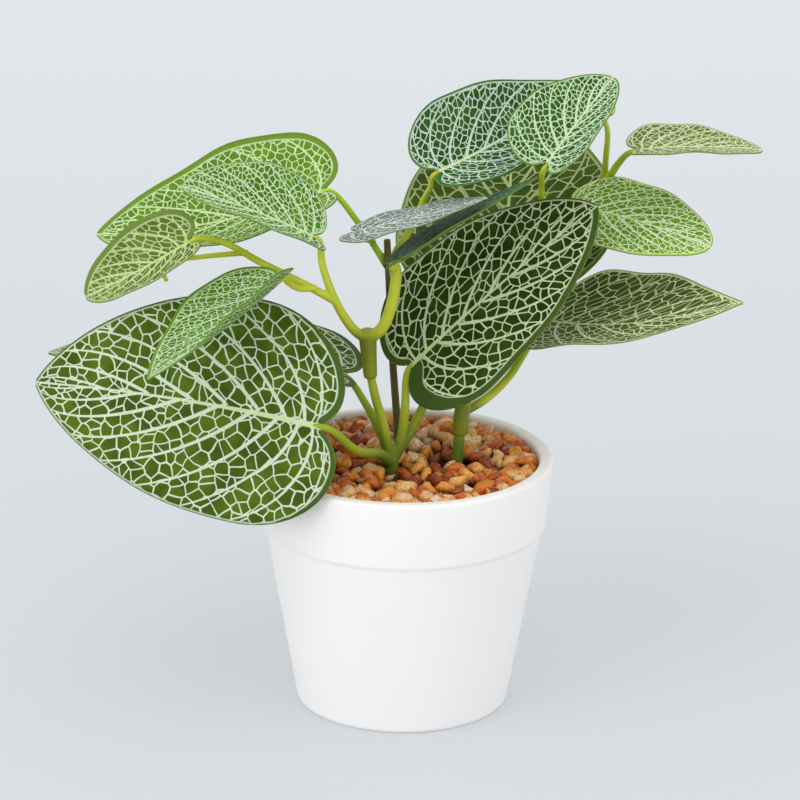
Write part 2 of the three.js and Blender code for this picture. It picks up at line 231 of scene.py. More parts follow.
def stand_for(piece, slot, *nodes):
    """Fixes a piece to the measured model in place of the nodes it stands for."""
    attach(piece, "root")
    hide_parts(*nodes)
    faces = sum(len(p.vertices) - 2 for p in piece.data.polygons)
    print(piece.name, "stands for", ", ".join(nodes), "with", faces, "triangles")


print("the measured model is", round(size_before[1][2] / MM, 1), "mm high")

# %% [markdown]
# ## The pot
# The real pot is one thin plastic moulding with a stepped band under its lip. It is round, so
# it could be carved from a cylinder with loop cuts, but turning a profile is exact and keeps
# each edge as soft as the mould left it. Every corner of the profile is rounded by a small arc.

# %% Turn a profile with soft corners
def rounded(corners, steps=4):
    """The profile with each corner (radius, height, softness) replaced by a short curve."""
    longest_share = 0.45
    made = [corners[0][:2]]
    for before, (r, h, soft), after in zip(corners, corners[1:], corners[2:]):
        here = Vector((r, h))
        back, onward = Vector(before[:2]) - here, Vector(after[:2]) - here
        start = here + back.normalized() * min(soft, back.length * longest_share)
        end = here + onward.normalized() * min(soft, onward.length * longest_share)
        for i in range(steps + 1):
            t = i / steps
            made.append(tuple(start * (1 - t) ** 2 + here * 2 * t * (1 - t) + end * t * t))
    made.append(corners[-1][:2])
    return made


def turn(name, profile, sides, material):
    """The profile swept round the upright axis, closed at its two ends on that axis."""
    angles = np.linspace(0, 2 * math.pi, sides, endpoint=False)
    inner = profile[1:-1]
    points = [
        (r * math.cos(a) * MM, r * math.sin(a) * MM, h * MM) for r, h in inner for a in angles
    ]
    faces = []
    for ring in range(len(inner) - 1):
        for i in range(sides):
            j = (i + 1) % sides
            low, high = ring * sides, (ring + 1) * sides
            faces.append((low + i, low + j, high + j, high + i))
    for ring, (_, h), flip in ((0, profile[0], False), (len(inner) - 1, profile[-1], True)):
        centre = len(points)
        points.append((0, 0, h * MM))
        for i in range(sides):
            edge = (ring * sides + i, ring * sides + (i + 1) % sides)
            faces.append((centre, *edge) if flip else (centre, *edge[::-1]))
    return make_piece(name, points, faces, material)


print(len(rounded([(0, 0), (1, 0, 0.2), (1, 1)])), "points on a test corner")

# %% [markdown]
# ### The pot's finish
# Matt white plastic looks flat only from afar. Close up, its grain scatters the light, and its
# tone and its gloss drift a little over the surface. Two scales of noise give both.

# %% White plastic
def white_plastic():
    """Matt white plastic with a fine grain."""
    finish = Finish("white_plastic")
    where = finish.place()
    drift = finish.noise(where, 30.0)
    grain = finish.noise(where, 2600.0, 3.0)
    colour = finish.mix(drift, tint(247, 244, 242), tint(251, 248, 246))
    return finish.wear(
        Base_Color=colour,
        Roughness=0.42 + 0.12 * drift,
        Normal=finish.bump(grain, 0.04 * MM, 0.35),
    )


pot_plastic = white_plastic()
print("the pot's finish has", len(pot_plastic.node_tree.nodes), "nodes")

# %% [markdown]
# ### The pot's shape
# The profile starts in the middle of the underside, which is hollowed a little so that the pot
# stands on a ring. It goes up the wall to the band's step, over the lip and down the inside.

# %% The pot's profile
# Each corner is a radius, a height and a softness in millimetres.
POT_HEIGHT, RIM_RADIUS, MOUTH_RADIUS, BASE_RADIUS = 78, 45, 41, 32
BAND_FOOT, POT_FLOOR, UNDERSIDE_HOLLOW, FOOT_RING_RADIUS = 57.3, 3.5, 0.6, 26
POT_PROFILE = [
    (0, UNDERSIDE_HOLLOW), (FOOT_RING_RADIUS - 1, UNDERSIDE_HOLLOW, 0.5),
    (FOOT_RING_RADIUS, 0, 0.5), (BASE_RADIUS, 0, 1.6),
    (42.1, BAND_FOOT - 1, 0.5), (43.2, BAND_FOOT, 0.7),
    (RIM_RADIUS, POT_HEIGHT, 1.5), (MOUTH_RADIUS, POT_HEIGHT, 1.2),
    (39.7, 57.5, 2), (29.6, POT_FLOOR, 0.8), (0, POT_FLOOR),
]
POT_SIDES = 160
pot = turn("pot_moulding", rounded(POT_PROFILE, 5), POT_SIDES, pot_plastic)
stand_for(pot, "pot", "pot")

# %% [markdown]
# ## The filling
# Under the stones is a plug of foam that holds the stems. It stays as the measured solid, as
# only dark slits between stones could ever show it, and gets a crumbly brown finish.

# %% Brown foam for the plug
def foam():
    """Crumbly brown foam."""
    finish = Finish("brown_foam")
    where = finish.place()
    crumb = finish.noise(where, 900.0, 3.0)
    colour = finish.mix(crumb, tint(46, 24, 8), tint(96, 62, 30))
    return finish.wear(Base_Color=colour, Roughness=0.9, Normal=finish.bump(crumb, 0.4 * MM, 0.6))


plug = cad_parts["filler"]
plug.data.materials.clear()
plug.data.materials.append(foam())

# %% [markdown]
# ## The gravel
# The stones are crushed and then tumbled, so each is an angular lump with worn corners. A
# sphere pushed about by noise would look like a potato. The hull of a few points scattered on
# a squashed ball has flat facets instead, and a narrow bevel wears its edges.

# %% One stone
# The sizes of stones and of the bed are in millimetres.
STONE_CORNERS = 15
WORN_EDGE = 0.3
stone_random = np.random.default_rng(11)


def stone_form(radius):
    """Points and faces of one worn stone about its own centre, in metres."""
    reach = radius * stone_random.uniform((0.85, 0.65, 0.55), (1.25, 0.95, 0.8))
    ball = stone_random.normal(size=(STONE_CORNERS, 3))
    ball /= np.linalg.norm(ball, axis=1)[:, None]
    form = bmesh.new()
    for point in ball * reach * MM:
        form.verts.new(point)
    bmesh.ops.convex_hull(form, input=form.verts)
    bmesh.ops.delete(form, geom=[v for v in form.verts if not v.link_faces], context="VERTS")
    bmesh.ops.bevel(
        form, geom=form.edges[:], offset=WORN_EDGE * MM, segments=2, affect="EDGES",
        clamp_overlap=True,
    )
    turned = Matrix.Rotation(stone_random.uniform(0, math.tau), 3, stone_random.normal(size=3))
    points = [turned @ v.co for v in form.verts]
    form.verts.index_update()
    faces = [[v.index for v in f.verts] for f in form.faces]
    form.free()
    return points, faces


print(len(stone_form(2.2)[1]), "faces on a test stone")

# %% [markdown]
# ### Laying the stones
# Stones settle into a loose bed. They could be dropped by a physics run, but that is slow and
# lands differently after each small change. Instead, two layers are laid on a grid with some
# disorder, the lower one close and the upper one with gaps, so that dark hollows stay between
# them. Both rise a little towards the wall, where a ring of stones leans on the plastic.

# %% Lay two layers and a ring round the stems
# Rows of a triangular grid lie this share of its spacing apart.
ROW_SHARE = 0.866
STEM_ROOM, BED_RADIUS = 1.1, 41.2
RISE_AT_WALL, WALL_RADIUS = 4.2, 40
STONE_RADII, RING_STONE_RADII, RING_REACH = (2.6, 4.4), (2.3, 3.3), (37.6, 38.6)


def lay_layer(level, spacing, keep, stems):
    """Centres and radii of one layer of stones inside the pot's mouth, in millimetres."""
    laid = []
    row_gap = spacing * ROW_SHARE
    rows = int(MOUTH_RADIUS / row_gap) + 1
    for row in range(-rows, rows + 1):
        for column in range(-rows, rows + 1):
            jitter = stone_random.uniform(-1, 1, 3) * (1.0, 1.0, 0.9)
            size = stone_random.uniform(*STONE_RADII)
            x = (column + 0.5 * (row % 2)) * spacing + jitter[0]
            y = row * row_gap + jitter[1]
            chosen = stone_random.random() < keep
            clear = all(math.dist((x, y), s) > size + STEM_ROOM for s in stems)
            from_axis = math.hypot(x, y)
            if chosen and clear and from_axis < BED_RADIUS - 0.75 * size:
                rise = RISE_AT_WALL * (from_axis / WALL_RADIUS) ** 3
                laid.append((x, y, level + jitter[2] + rise, size))
    return laid


def lay_ring(level, count):
    """Centres and radii of the stones that lean on the wall, in millimetres."""
    laid = []
    for turn_share in np.linspace(0, 1, count, endpoint=False):
        reach, angle = stone_random.uniform(*RING_REACH), math.tau * turn_share
        centre = (reach * math.cos(angle), reach * math.sin(angle), level)
        laid.append((*centre, stone_random.uniform(*RING_STONE_RADII)))
    return laid


STEM_ROOTS = [(-4, 0), (-2, 10), (16, 4)]
laid = lay_layer(level=72.4, spacing=5.0, keep=1.0, stems=STEM_ROOTS)
laid += lay_layer(level=74.5, spacing=6.3, keep=0.8, stems=STEM_ROOTS)
laid += lay_ring(level=76.0, count=46)
print(len(laid), "stones laid")

# %% [markdown]
# ### The stones' finish
# The chips are mostly orange and brick red, with some tan, pink and cream ones. Each stone
# carries one number that picks its colour from a ramp, and fine noise adds the specks and the
# pits that catch the light. Stones that lie deep are mixed with brown, as little light gets
# down to them.

# %% Crushed stone
def crushed_stone():
    """Stone in the bed's range of colours, darker below the bed's top."""
    finish = Finish("crushed_stone")
    where = finish.place()
    speck = finish.noise(where, 1500.0, 4.0, 0.7)
    cloud = finish.noise(where, 330.0, 3.0)
    pick = finish.surface_value("kind") + 0.16 * (cloud - 0.5)
    stops = [
        (0.0, tint(128, 44, 6)), (0.2, tint(212, 98, 18)), (0.4, tint(246, 148, 42)),
        (0.58, tint(253, 182, 86)), (0.72, tint(253, 202, 130)), (0.86, tint(253, 218, 176)),
        (1.0, tint(250, 232, 200)),
    ]
    base = finish.add("ShaderNodeValToRGB", {"stops": stops}, {"Fac": pick}, "Color")
    dark = finish.mix(0.6, base, tint(84, 34, 6))
    clean = finish.mix(speck.ease(0.3, 0.54), dark, base)
    lit = finish.part_of(where, "Z").ease(72.2 * MM, 76 * MM)
    colour = finish.mix(lit, finish.mix(0.82, clean, tint(60, 22, 3)), clean)
    return finish.wear(
        Base_Color=colour,
        Roughness=0.16 + 0.3 * speck,
        Normal=finish.bump(speck + cloud, 0.22 * MM, 0.7),
    )


BED_TOP = 77.8


def gather_stones(laid):
    """All stones as one mesh, each lowered where it would stand above the bed's top."""
    points, faces, kinds = [], [], []
    for x, y, z, size in laid:
        form, sides = stone_form(size)
        first = len(points)
        top = max(p.z for p in form) / MM
        drop = min(0.0, BED_TOP - (z + top))
        middle = Vector((x, y, z + drop)) * MM
        points += [p + middle for p in form]
        faces += [[first + i for i in side] for side in sides]
        kinds += [stone_random.beta(1.7, 1.9)] * len(form)
    return points, faces, kinds


stone_points, stone_faces, stone_kinds = gather_stones(laid)
gravel = make_piece(
    "gravel_stones", stone_points, stone_faces, crushed_stone(), {"kind": stone_kinds}
)
stand_for(gravel, "gravel", "gravel")

# %% [markdown]
# ## The leaves' shape
# A blade is a flat heart-shaped pattern, printed and then pressed: bent along its length,
# cupped across it and rippled at its margin. It could be sculpted, but a formula keeps all
# sixteen leaves true to the measured model. The table has two lines for each leaf, one for its
# shape and one for its print. One tip, that of leaf_centre_right_flat, is drawn back by 1.3 mm
# from the measured one, so that it clears a petiole.

# %% The leaves
# First line: base, tip (mm), roll, bend (degrees), cup, width left and right, sweep, blunt, wave.
# Cup lifts the margin by a share of the half width. Sweep moves the middle to the left and wave
# ripples the margin by shares of the length. Blunt runs from 0, a long tip, to 1, a round one.
# Second line: shade, side veins each side, size of a cell across and along a side vein (mm),
# and the plain border's width on the left and on the right (mm).
LEAVES = {
    "leaf_front_left": (
        (-24, -36, 99), (-110.5, -8, 102.5), -74, 12, 0, 0.99, 0.99, -0.02, 0.5, 0.012,
        "olive", 9, 3.7, 3.9, 0.6, 0.8,
    ),
    "leaf_low_left": (
        (-19, 14, 99), (-109, 22, 102), 4, 16, 0.18, 1, 1, 0, 0.4, 0.01,
        "olive", 9, 3.4, 3.6, 0.8, 0.8,
    ),
    "leaf_left_drooping": (
        (-37, -28.5, 143), (-74, -60, 122), 16, -4, 0.32, 0.62, 1.12, 0.05, 0.4, 0.01,
        "fresh", 8, 1.5, 2.1, 0.5, 1.1,
    ),
    "leaf_left_end": (
        (-63, -22, 152), (-95, -14, 131.5), -56, 34, 0.36, 0.56, 0.82, 0.055, 1, 0.01,
        "pale", 7, 1.5, 3.0, 0.7, 1.5,
    ),
    "leaf_left_wide": (
        (-24.5, 18, 156), (-94, 25, 139), -25, -8, 0.34, 0.8, 0.92, 0.05, 0.6, 0.012,
        "spring", 8, 2.0, 2.4, 0.6, 1.7,
    ),
    "leaf_left_upper": (
        (-26.3, -13.5, 150.5), (-65.7, -21.5, 168), -28, -6, 0.34, 0.68, 1.06, -0.045, 0.9, 0.01,
        "fresh", 8, 1.5, 1.8, 0.5, 0.4,
    ),
    "leaf_centre": (
        (1, 5, 104), (56.5, 5, 155.5), 44, 6, 0.06, 0.92, 0.92, 0.01, 0.7, 0.01,
        "forest", 8, 3.0, 3.7, 0.8, 2.2,
    ),
    # This leaf's shade paints the satin's silver sheen, a reflection of the sky, into its colour.
    "leaf_centre_left_flat": (
        (-16, 2, 148), (23.5, -10, 162.2), 0, -4, 0, 1, 1, 0, 0.3, 0.01,
        "silver", 8, 2.1, 2.9, 0.4, 0.4,
    ),
    "leaf_centre_right_flat": (
        (-4, -11, 142.5), (38.4, -6.1, 167.8), -12, 4, 0.08, 1, 1, 0, 0.2, 0.005,
        "deep", 8, 2.2, 2.8, 0.5, 0.4,
    ),
    "leaf_top_middle": (
        (8.5, 3, 166.2), (52.5, 46, 183), 30, -6, 0.34, 0.78, 0.66, -0.03, 0.1, 0.01,
        "blue", 8, 1.8, 2.6, 0.7, 1.6,
    ),
    "leaf_top": (
        (40.4, -6.5, 171.3), (61, 20, 191.2), 14, 8, 0.34, 1.15, 0.72, 0, 1, 0.01,
        "garden", 8, 1.5, 2.0, 0.6, 0.6,
    ),
    "leaf_back": (
        (28, 26, 123), (33, 110, 158), -5, 15, 0.08, 1, 1, -0.02, 0.3, 0.012,
        "dusky", 9, 3.8, 6.0, 0.9, 1.4,
    ),
    "leaf_right_upper": (
        (68.6, 24, 168), (107, 28, 167), 2, 14, 0.2, 1, 1, -0.02, 0.9, 0.01,
        "cream", 8, 1.6, 2.5, 0.5, 0.5,
    ),
    "leaf_right_middle": (
        (50, 31, 148), (91, 9, 142), 20, 16, 0.03, 1, 1, 0, 1, 0.01,
        "lime", 9, 1.7, 2.5, 0.6, 0.6,
    ),
    "leaf_right_lower": (
        (42.5, 32, 111), (100, -6, 129.5), 10, -8, 0.2, 1.08, 1.05, -0.08, 0, 0.012,
        "bronze", 7, 2.7, 4.4, 0.8, 0.6,
    ),
    "leaf_top_back": (
        (58.5, 36, 175.5), (48, 62, 178), 0, 20, 0.05, 0.6, 0.6, 0, 0.4, 0.01,
        "lime", 7, 1.6, 1.9, 0.6, 0.6,
    ),
}
print(len(LEAVES), "leaves in the table")

# %% A blade held in space
# Half the width of the pattern, as a share of its length, and the pace of the margin's ripple.
HALF_WIDTH = 0.37
RIPPLE_PACE = 14


class Blade:
    """One leaf's frame: along its midrib, across to its left, and up out of its face."""

    def __init__(
        self, base, tip, roll, bend, cup, left, right, sweep, blunt, wave, kind, *print_sizes
    ):
        self.base = np.array(base, float)
        along = np.array(tip, float) - self.base
        self.chord = np.linalg.norm(along)
        self.along = along / self.chord
        level = np.cross((0, 0, 1), self.along)
        level /= np.linalg.norm(level)
        turned = math.radians(roll)
        self.across = level * math.cos(turned) + np.cross(self.along, level) * math.sin(turned)
        self.up = np.cross(self.along, self.across)
        self.bend = math.radians(bend)
        self.length = self.chord * self.bend / (2 * math.sin(self.bend / 2))
        self.cup, self.sweep, self.blunt, self.wave = cup, sweep, blunt, wave
        self.left, self.right, self.kind = left, right, kind
        self.veins, self.cell_across, self.cell_along = print_sizes[:3]
        self.border_left, self.border_right = print_sizes[3:]

    def width(self, y):
        """How wide the side of the blade that y lies on is, as a share of the pattern's."""
        return np.where(y > 0, self.left, self.right)

    def at(self, x, y, raised):
        """Points from pattern shares x and y, raised off the face by some millimetres."""
        bend, slope = self.bend, self.bend * (0.5 - x)
        forward = (math.sin(bend / 2) - np.sin(slope)) / bend
        rise = (np.cos(slope) - math.cos(bend / 2)) / bend
        out = np.abs(y) / HALF_WIDTH
        ripple = self.wave * out**2 * np.sin(RIPPLE_PACE * x + np.where(y > 0, 0, 2))
        lift = self.length * (self.cup * HALF_WIDTH * out**2 + ripple) + raised
        sideways = y * self.width(y) + self.sweep * 4 * x * (1 - x)
        face = np.cos(slope)[..., None] * self.up - np.sin(slope)[..., None] * self.along
        flat = self.along * forward[..., None] + self.up * rise[..., None]
        flat = flat + self.across * sideways[..., None]
        return self.base + self.length * flat + face * lift[..., None]


blades = {name: Blade(*row) for name, row in LEAVES.items()}
print("the longest blade is", round(max(b.length for b in blades.values()), 1), "mm")

# %% The flat pattern
def curve_through(handles, share):
    """Points of a cubic curve from its four handles."""
    a, b, c, d = np.array(handles, float)[:, None, :]
    t = share[:, None]
    return a * (1 - t) ** 3 + 3 * b * t * (1 - t) ** 2 + 3 * c * t**2 * (1 - t) + d * t**3


def margin(rows, notch, blunt=0.5):
    """The edge of half a blade at each row: round the lobe first, then along to the tip.

    The lobe starts beside the notch, half the notch's width from the midrib, and takes the
    first third of the rows. A blunt of 0 gives a long tip, and 1 a round one.
    """
    lobe = [(0, notch), (-0.13, 0.1), (-0.03, HALF_WIDTH), (0.27, HALF_WIDTH)]
    shoulder, near_tip = (0.6 + 0.06 * blunt, HALF_WIDTH), (0.85 + 0.15 * blunt, 0.15)
    side = [(0.27, HALF_WIDTH), shoulder, near_tip, (1, 0.006 + 0.008 * blunt)]
    first = curve_through(lobe, np.clip(rows * 3, 0, 1))
    second = curve_through(side, np.clip(rows * 1.5 - 0.5, 0, 1))
    return np.where(rows[:, None] < 1 / 3, first, second)


print("widest at", round(float(margin(np.array([1 / 3]), 0.01)[0, 0]), 2), "of the length")

# %% [markdown]
# ## The leaves' veins
# The print has three orders of veins: a midrib, curved side veins, and a net of small meshes
# between them. Drawing every mesh as geometry would take a great many faces, and a picture
# would blur. Instead each point of the blade knows where it is on the pattern: how far along and
# across it is, which side veins it lies between and how far apart they are, and how near the
# margin is. It also carries the sizes of its own leaf's print. The finish then draws the lines
# from those numbers, sharp at any size.

# %% Numbers that each point of a blade carries
ROWS, COLUMNS, OUTLINE_POINTS = 66, 16, 300
NOTCH_HALF_WIDTH, NOTCH_DEPTH = 1.3, 1.5
# Side veins leave the midrib at a slant and curve towards the tip. Those of the right side lie
# about a third of their spacing nearer the notch than those of the left.
VEIN_SLANT, VEIN_CURVE, VEIN_STAGGER = 0.19, 0.04, 0.35
# These shades' leaves have a border that grows nearly three times as wide round the notch.
WIDE_AT_NOTCH = ("olive", "forest")
leaf_random = np.random.default_rng(5)


def pattern_numbers(blade, row, column, x, y):
    """What the finish needs to know at each point of the blade, in millimetres or shares."""
    along, across = x * blade.length, y * blade.length * blade.width(y)
    slant = VEIN_SLANT * np.abs(column) + VEIN_CURVE * np.abs(column) ** 3
    strip = blade.veins * (row - slant) + np.where(column < 0, VEIN_STAGGER, 0)
    # How fast the strip number changes over the blade gives the gap between two side veins.
    (along_r, along_c), (across_r, across_c) = np.gradient(along), np.gradient(across)
    strip_r, strip_c = np.gradient(strip)
    area = along_r * across_c - along_c * across_r
    area = np.where(np.abs(area) < 1e-4, 1e-4, area)
    slope_x = (strip_r * across_c - strip_c * across_r) / area
    slope_y = (strip_c * along_r - strip_r * along_c) / area
    gap = 1 / np.maximum(np.hypot(slope_x, slope_y), 0.04)
    edge_share = np.linspace(0, 1, OUTLINE_POINTS)
    outline = margin(edge_share, NOTCH_HALF_WIDTH / blade.chord, blade.blunt) * blade.length
    outline = np.concatenate([outline * (1, blade.left), outline * (1, -blade.right)])
    spread = np.hypot(along[..., None] - outline[:, 0], across[..., None] - outline[:, 1])
    border = np.where(column > 0, blade.border_left, blade.border_right)
    if blade.kind in WIDE_AT_NOTCH:
        border = border * (1 + 1.9 * np.exp(-(((x + 0.03) / 0.11) ** 2)))
    return {
        "along": along, "across": across, "reach": x, "side": np.abs(column), "strip": strip,
        "gap": gap, "edge": spread.min(-1), "border": border,
        "cell_across": np.full_like(x, blade.cell_across),
        "cell_along": np.full_like(x, blade.cell_along),
        "size": np.full_like(x, blade.length), "tone": np.full_like(x, leaf_random.random()),
    }


print(ROWS * COLUMNS * 2, "facets on one face of a blade")

# %% Build one blade
# Heights and reaches in millimetres. A swell has its full height on a leaf of the last length.
SHEET, RIB_HEIGHT, RIB_REACH = 0.42, 1.15, 0.95
GROOVE_DEPTH, GROOVE_REACH = 0.22, 0.9
PILLOW_HEIGHT, LARGE_LEAF = 0.1, 90


def thickness_under(x, across):
    """How far the lower face lies under the upper one: a thin sheet with a rib along it."""
    rib_reach = RIB_REACH * (1 - 0.5 * x)
    return SHEET + RIB_HEIGHT * (1 - 0.75 * x) * np.exp(-((across / rib_reach) ** 2))


def build_blade(name, blade, material):
    """One leaf: a face with a groove on its midrib and soft swells between its side veins."""
    # Columns lie closer together near the midrib, and rows near the notch.
    share = np.linspace(0, 1, ROWS + 1)
    half = np.linspace(0, 1, COLUMNS + 1) ** 1.25
    column = np.concatenate([-half[:0:-1], half])[None, :] * np.ones((ROWS + 1, 1))
    row = share[:, None] * np.ones_like(column)
    edge = margin(share, NOTCH_HALF_WIDTH / blade.chord, blade.blunt)
    dip = NOTCH_DEPTH / blade.chord
    middle = dip + (1 - dip) * share**1.8
    x = middle[:, None] + np.abs(column) * (edge[:, :1] - middle[:, None])
    y = column * edge[:, 1:]
    numbers = pattern_numbers(blade, row, column, x, y)
    across = numbers["across"]
    groove = GROOVE_DEPTH * (1 - 0.6 * x) * np.exp(-((across / GROOVE_REACH) ** 2))
    fade = np.clip(numbers["edge"] / 4, 0, 1) * np.clip(np.abs(across) / 3, 0, 1)
    swell = np.abs(np.sin(math.pi * numbers["strip"])) * fade
    pillow = PILLOW_HEIGHT * swell * blade.length / LARGE_LEAF
    under = thickness_under(x, across)
    upper = blade.at(x, y, pillow - groove).reshape(-1, 3)
    lower = blade.at(x, y, -under).reshape(-1, 3)
    values = {k: np.tile(v.ravel(), 2) for k, v in numbers.items()}
    values["under"] = np.repeat([0.0, 1.0], len(upper))
    points = np.concatenate([upper, lower]) * MM
    return make_piece(name + "_blade", points, sheet_faces(*x.shape), material, values)


def sheet_faces(rows, columns):
    """Faces of two alike grids of points, with a strip that closes their common edge."""
    index = np.arange(rows * columns).reshape(rows, columns)
    under = index + rows * columns
    corners = (index[:-1, :-1], index[1:, :-1], index[1:, 1:], index[:-1, 1:])
    faces = list(np.stack([c.ravel() for c in corners], 1))
    faces += [f[::-1] + rows * columns for f in faces]
    rim = np.concatenate([index[0], index[1:, -1], index[-1, -2::-1], index[-2:0:-1, 0]])
    below = np.concatenate([under[0], under[1:, -1], under[-1, -2::-1], under[-2:0:-1, 0]])
    for i in range(len(rim)):
        j = (i + 1) % len(rim)
        faces.append((rim[i], rim[j], below[j], below[i]))
    return faces


print(len(sheet_faces(3, 3)), "faces on a test sheet")

# %% [markdown]
# ## The leaves' finish
# The leaf is made as satin cloth with a printed face. Three masks are worked out in millimetres:
# the midrib, the side veins, and the net, which is the edge between cells scattered over the
# blade. The cells are scattered anew between each pair of side veins, so the small veins end on
# them as they do in nature. A plain green border runs round the margin, with a thin pale hem
# inside it, and the print is fainter on the underside.

# %% Lines of the print
def line(distance, half_width, soft):
    """1 on a line and 0 away from it, from the distance to its middle."""
    return 1 - distance.ease(half_width - soft, half_width + soft)


# The net's cells lie along the side veins, which go this far ahead and this far out. The shifts
# give each strip between two side veins, each side and each leaf a part of the scatter of its own.
VEIN_AHEAD, VEIN_OUT = 0.75, 0.66
STRIP_SHIFT, SIDE_SHIFT, LEAF_SHIFT = 9.7, 37, 90


def net_lines(finish, read):
    """The net: walls between cells, with rounded corners, in a fresh scatter for each strip."""
    along, out = read("along"), abs(read("across"))
    cell_across, cell_along = read("cell_across"), read("cell_along")
    place = {"X": along / cell_along, "Y": read("across") / cell_along, "Z": read("tone") * 50}
    in_cells = finish.add("ShaderNodeCombineXYZ", {}, place, "Vector")
    sway = finish.noise(in_cells, 0.4, 1.0)
    other = finish.noise(in_cells, 0.55, 1.0)
    left = read("across").ease(-0.001, 0.001)
    x = (VEIN_OUT * along - VEIN_AHEAD * out) / cell_across
    x = x + read("strip").floor() * STRIP_SHIFT + left * SIDE_SHIFT
    y = (VEIN_AHEAD * along + VEIN_OUT * out) / cell_along + read("tone") * LEAF_SHIFT
    spot = {"X": x + 0.9 * sway, "Y": y + 0.9 * other}
    spot = finish.add("ShaderNodeCombineXYZ", {}, spot, "Vector")
    settings = {"voronoi_dimensions": "2D"}
    values = {"Vector": spot, "Scale": 1.0, "Randomness": 0.85}
    edges = {**settings, "feature": "DISTANCE_TO_EDGE"}
    wall = finish.add("ShaderNodeTexVoronoi", edges, values, "Distance")
    centre = finish.add("ShaderNodeTexVoronoi", {**settings, "feature": "F1"}, values, "Distance")
    cell_size = 0.5 * (cell_across + cell_along)
    lines = line(wall * cell_size, (0.09 + 0.035 * cell_size) * (0.7 + 0.6 * other), 0.08)
    return lines.most(centre.ease(0.74, 0.88))


print("three masks make the print")

# %% The shades of the print
# Columns: the green's low and high, the vein, the plain border.
SHADES = {
    "olive": (tint(60, 84, 12), tint(90, 114, 22), tint(214, 228, 200), tint(72, 98, 40)),
    "forest": (tint(28, 48, 5), tint(54, 74, 11), tint(212, 228, 184), tint(68, 90, 38)),
    "fresh": (tint(58, 106, 14), tint(84, 134, 24), tint(208, 228, 188), tint(108, 150, 42)),
    "spring": (tint(84, 122, 26), tint(108, 146, 40), tint(208, 230, 178), tint(110, 146, 44)),
    "pale": (tint(80, 108, 28), tint(108, 132, 46), tint(198, 212, 160), tint(112, 138, 60)),
    "cream": (tint(84, 104, 34), tint(112, 130, 52), tint(222, 229, 194), tint(140, 162, 62)),
    "blue": (tint(34, 70, 22), tint(60, 100, 36), tint(208, 227, 209), tint(58, 106, 44)),
    "garden": (tint(38, 74, 18), tint(58, 100, 30), tint(202, 226, 188), tint(76, 126, 46)),
    "deep": (tint(12, 50, 10), tint(26, 74, 18), tint(84, 140, 88), tint(40, 92, 34)),
    # The silver shade's grey cells and grey-white lines are painted sheen: a reflection of the sky
    # laid over the leaf's green print.
    "silver": (tint(62, 82, 66), tint(104, 124, 112), tint(212, 222, 220), tint(120, 138, 124)),
    "lime": (tint(82, 132, 20), tint(108, 156, 38), tint(230, 247, 206), tint(176, 196, 46)),
    "bronze": (tint(50, 68, 8), tint(80, 99, 20), tint(240, 246, 198), tint(140, 160, 44)),
    "dusky": (tint(34, 52, 5), tint(62, 76, 14), tint(160, 178, 120), tint(100, 130, 44)),
}
print(len(SHADES), "shades for", len(LEAVES), "leaves")

# %% Satin leaf
def satin_leaf(kind):
    """The printed finish of one shade: green ground, pale lines, plain border, fainter back."""
    low, high, vein, border_green = SHADES[kind]
    finish = Finish("satin_leaf_" + kind)
    read = finish.surface_value
    along, across, reach, edge = read("along"), read("across"), read("reach"), read("edge")
    place = {"X": along, "Y": across, "Z": read("tone") * 50}
    flat = finish.add("ShaderNodeCombineXYZ", {}, place, "Vector")
    cloud = finish.noise(flat, 0.12, 2.0)
    fine = finish.noise(flat, 2.2, 2.0)
    # The midrib narrows towards the tip, and a side vein towards the margin.
    size, ahead = read("size"), 1 - reach
    midrib = line(abs(across), 0.26 + 0.00008 * size * size * ahead * ahead, 0.12)
    strip = read("strip")
    aside = abs(strip - strip.round()) * read("gap")
    crowded = (1 - read("gap") / (1.6 * read("cell_across"))).most(0)
    stout = (0.17 + 0.085 * read("cell_across")) * (1 - crowded)
    secondary = line(aside, stout * (1.25 - 0.8 * read("side")), 0.09)
    net = net_lines(finish, read)
    # The print ends at the border, along a hem.
    border_here = read("border") * (0.85 + 0.3 * cloud)
    inside = (edge - border_here).ease(-0.12, 0.12)
    hem = line(abs(edge - border_here), 0.07 + 0.045 * read("cell_along"), 0.1)
    print_mask = (secondary.most(net) * inside).most(hem * 0.8)
    # The colours are laid over each other: ground, print, midrib, then a painted edge highlight.
    green = finish.mix(cloud.ease(0.3, 0.7), low, high)
    green = finish.mix(0.3 * fine, green, border_green)
    ground = finish.mix(inside, border_green, green)
    veined = finish.mix(print_mask * (0.75 + 0.35 * fine), ground, vein)
    rib_colour = finish.mix(0.45 * ahead, vein, tint(214, 220, 120))
    top = finish.mix(midrib * 0.92, veined, rib_colour)
    # Painted highlight: a pale yellow-green line just inside the margin stands in for light caught
    # by the cut edge.
    rim = finish.mix(line(edge, 0.2, 0.12) * 0.55, top, tint(150, 172, 74))
    faint = finish.mix(print_mask * 0.6, finish.mix(0.35, green, tint(110, 132, 60)), vein)
    back = finish.mix(midrib * 0.8, faint, tint(168, 188, 84))
    colour = finish.mix(read("under"), rim, back)
    relief = 0.6 * print_mask + 0.35 * finish.noise(flat, 5.0, 2.0) + 0.7 * midrib
    return finish.wear(
        Base_Color=colour,
        Roughness=0.5 - 0.08 * print_mask + 0.1 * cloud,
        Normal=finish.bump(relief, 0.09 * MM, 0.6),
        Specular_IOR_Level=0.05,
    )


skins = {kind: satin_leaf(kind) for kind in SHADES}
print("the finish of one leaf has", len(skins["olive"].node_tree.nodes), "nodes")

# %% All the leaves
for name, blade in blades.items():
    stand_for(build_blade(name, blade, skins[blade.kind]), "leaf", name)

# %% [markdown]
# ## The stems
# Each spray is one moulding: the petioles flow into the stem with small fillets, and an upper
# spray slips over the end of a lower one like a sleeve. Tubes alone would show hard seams where
# they meet, so they are first swept along curves, then melted together by a fine voxel remesh.

